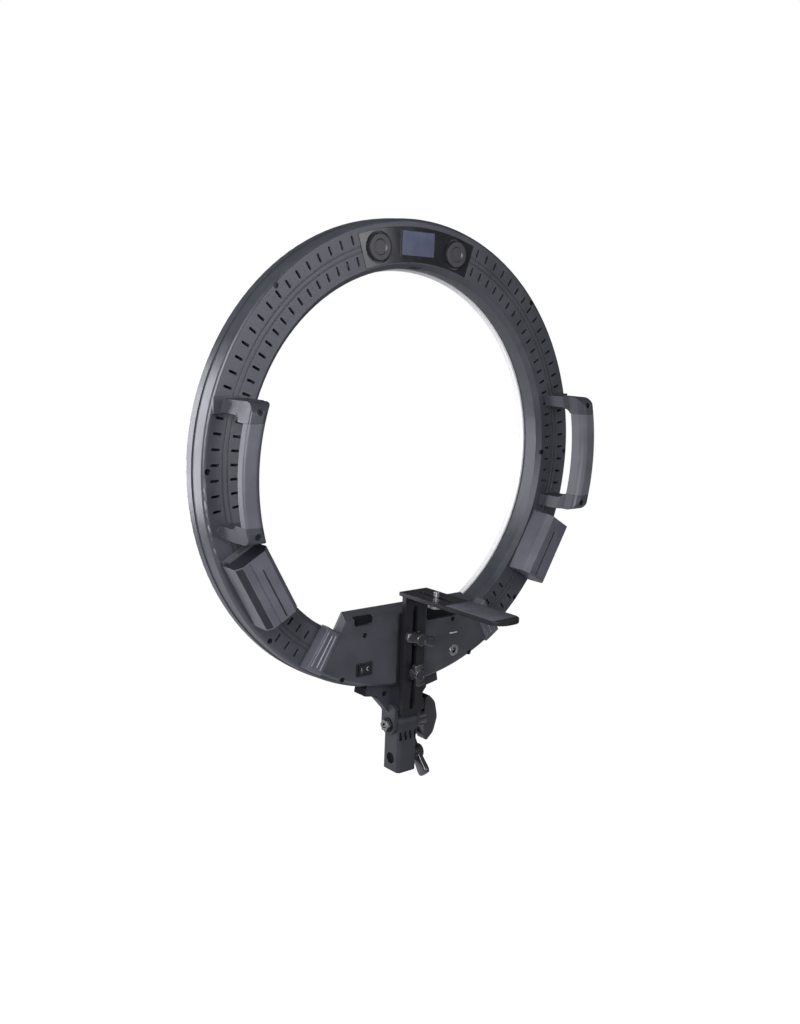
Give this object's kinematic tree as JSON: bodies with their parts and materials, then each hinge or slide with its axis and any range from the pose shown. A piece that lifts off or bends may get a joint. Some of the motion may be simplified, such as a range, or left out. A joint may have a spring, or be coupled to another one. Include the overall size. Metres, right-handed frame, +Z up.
{
  "type": "LED ring light",
  "caption": "Round LED ring light with a control panel, removable battery packs, hand grips, a sliding camera bracket and a tilting stand socket.",
  "frame": {"origin": "mouth of the stand socket, on its bore's axis", "axes": "+Z up along the stand socket's bore; the lit side faces -Y and the control side +Y; +X is the left as seen from behind; the ring's flat back lies in the plane y = -2 mm"},
  "size_m": [0.482, 0.187, 0.5857],
  "materials": {
    "satin_black": "satin",
    "gloss_black": "gloss",
    "deep_black": "matte",
    "diffuser_white": "matte",
    "bracket_black": "satin",
    "knob_black": "satin",
    "grip_rubber": "matte",
    "pack_black": "satin",
    "display_glass": "gloss",
    "circuit_green": "satin",
    "circuit_white": "satin",
    "lamp_yellow": "satin",
    "spreader_metal": "satin",
    "steel": "satin",
    "black_steel": "satin",
    "brass": "satin"
  },
  "bodies": {
    "stand": {"stand_receiver": "satin_black", "lock_insert": "brass"},
    "head": {"rear_shell": "satin_black", "front_bezel": "satin_black", "diffuser_ring": "diffuser_white", "heat_spreader": "spreader_metal", "led_board": "circuit_white", "led_array": "lamp_yellow", "control_panel": "gloss_black", "lcd_window": "display_glass", "lcd_module": "circuit_green", "control_board": "circuit_green", "dial_encoders": "steel", "accessory_insert_outer": "black_steel", "accessory_insert_inner": "black_steel", "driver_box": "satin_black", "driver_tray": "satin_black", "driver_board": "circuit_green", "driver_components": "deep_black", "end_collar_left": "deep_black", "end_collar_right": "deep_black", "box_screws": "black_steel", "rim_screws": "black_steel", "dc_jack": "steel", "switch_frame": "gloss_black", "battery_plate_left": "deep_black", "battery_plate_right": "deep_black", "battery_contacts": "brass", "handle_left": "satin_black", "handle_right": "satin_black", "grip_left": "grip_rubber", "grip_right": "grip_rubber", "handle_screws": "black_steel", "tilt_bracket": "satin_black", "bracket_screws": "black_steel", "tilt_bolt": "steel", "tilt_washer": "black_steel", "rail_base": "bracket_black", "rail_studs": "steel"},
    "dial_left": {"dial_left": "knob_black"},
    "dial_right": {"dial_right": "knob_black"},
    "power_rocker": {"power_rocker": "gloss_black"},
    "battery_left": {"battery_left": "pack_black"},
    "battery_right": {"battery_right": "pack_black"},
    "camera_bracket": {"camera_bracket": "bracket_black", "camera_pad": "grip_rubber"},
    "camera_screw_washer": {"camera_screw_washer": "steel"},
    "camera_screw": {"camera_screw": "steel"},
    "clamp_knob_upper": {"clamp_knob_upper": "knob_black"},
    "clamp_knob_lower": {"clamp_knob_lower": "knob_black"},
    "tilt_knob": {"tilt_knob": "knob_black"},
    "lock_knob": {"lock_knob": "knob_black"}
  },
  "joints": [
    {"name": "head_tilt", "type": "hinge", "parent": "stand", "child": "head", "pos_m": [0, 0, 0.052], "axis": [1, 0, 0], "range_deg": [-75, 75]},
    {"name": "lock_knob_turn", "type": "hinge", "parent": "stand", "child": "lock_knob", "pos_m": [-0.02, 0, 0.013], "axis": [1, 0, 0], "continuous": true},
    {"name": "tilt_knob_turn", "type": "hinge", "parent": "head", "child": "tilt_knob", "pos_m": [-0.03, 0, 0.052], "axis": [1, 0, 0], "continuous": true},
    {"name": "dial_left_turn", "type": "hinge", "parent": "head", "child": "dial_left", "pos_m": [0.0497, 0, 0.5423], "axis": [0, 1, 0], "continuous": true},
    {"name": "dial_right_turn", "type": "hinge", "parent": "head", "child": "dial_right", "pos_m": [-0.0497, 0, 0.5423], "axis": [0, 1, 0], "continuous": true},
    {"name": "power_rocker_tip", "type": "hinge", "parent": "head", "child": "power_rocker", "pos_m": [0.06, 0.0065, 0.123], "axis": [0, 0, 1], "range_deg": [-14, 0]},
    {"name": "battery_left_slide", "type": "slide", "parent": "head", "child": "battery_left", "axis": [-0.5, 0, -0.866], "range_m": [0, 0.01]},
    {"name": "battery_right_slide", "type": "slide", "parent": "head", "child": "battery_right", "axis": [0.5, 0, -0.866], "range_m": [0, 0.01]},
    {"name": "camera_bracket_slide", "type": "slide", "parent": "head", "child": "camera_bracket", "axis": [0, 0, 1], "range_m": [0, 0.035]},
    {"name": "camera_screw_slide", "type": "slide", "parent": "camera_bracket", "child": "camera_screw_washer", "axis": [0, 1, 0], "range_m": [-0.021, 0.021]},
    {"name": "camera_screw_turn", "type": "hinge", "parent": "camera_screw_washer", "child": "camera_screw", "pos_m": [0, 0.048, 0.195], "axis": [0, 0, 1], "continuous": true},
    {"name": "clamp_knob_upper_turn", "type": "hinge", "parent": "head", "child": "clamp_knob_upper", "pos_m": [0, 0.024, 0.149], "axis": [0, 1, 0], "continuous": true},
    {"name": "clamp_knob_lower_turn", "type": "hinge", "parent": "head", "child": "clamp_knob_lower", "pos_m": [0, 0.024, 0.111], "axis": [0, 1, 0], "continuous": true}
  ]
}
